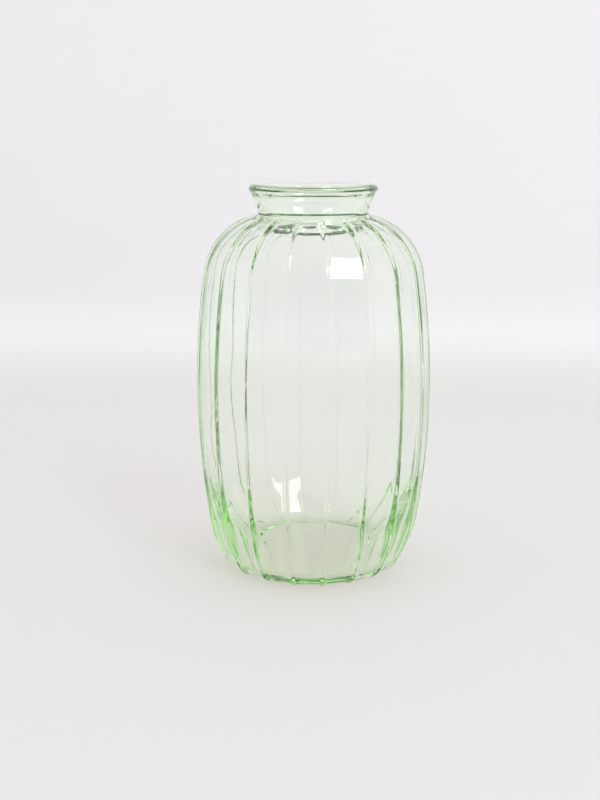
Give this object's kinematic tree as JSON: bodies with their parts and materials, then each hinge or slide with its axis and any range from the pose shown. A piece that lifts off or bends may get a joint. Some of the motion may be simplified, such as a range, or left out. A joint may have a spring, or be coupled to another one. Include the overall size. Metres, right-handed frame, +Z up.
{
  "type": "ribbed glass bud vase",
  "caption": "Pale green clear-glass bud vase: barrel body of flat upright panels with soft ribs between them, short flared neck and rolled lip.",
  "frame": {"origin": "centre of the base, on the plane that the vase stands on", "axes": "+Z up along the axis of the vase, a rib on +X and a panel facing -Y"},
  "size_m": [0.0732, 0.072, 0.12],
  "materials": {
    "glass": "clear, pale green, fire polished"
  },
  "bodies": {
    "root": {"base": "glass", "heel": "glass", "barrel": "glass", "shoulder": "glass", "neck": "glass", "lip": "glass"}
  },
  "joints": []
}
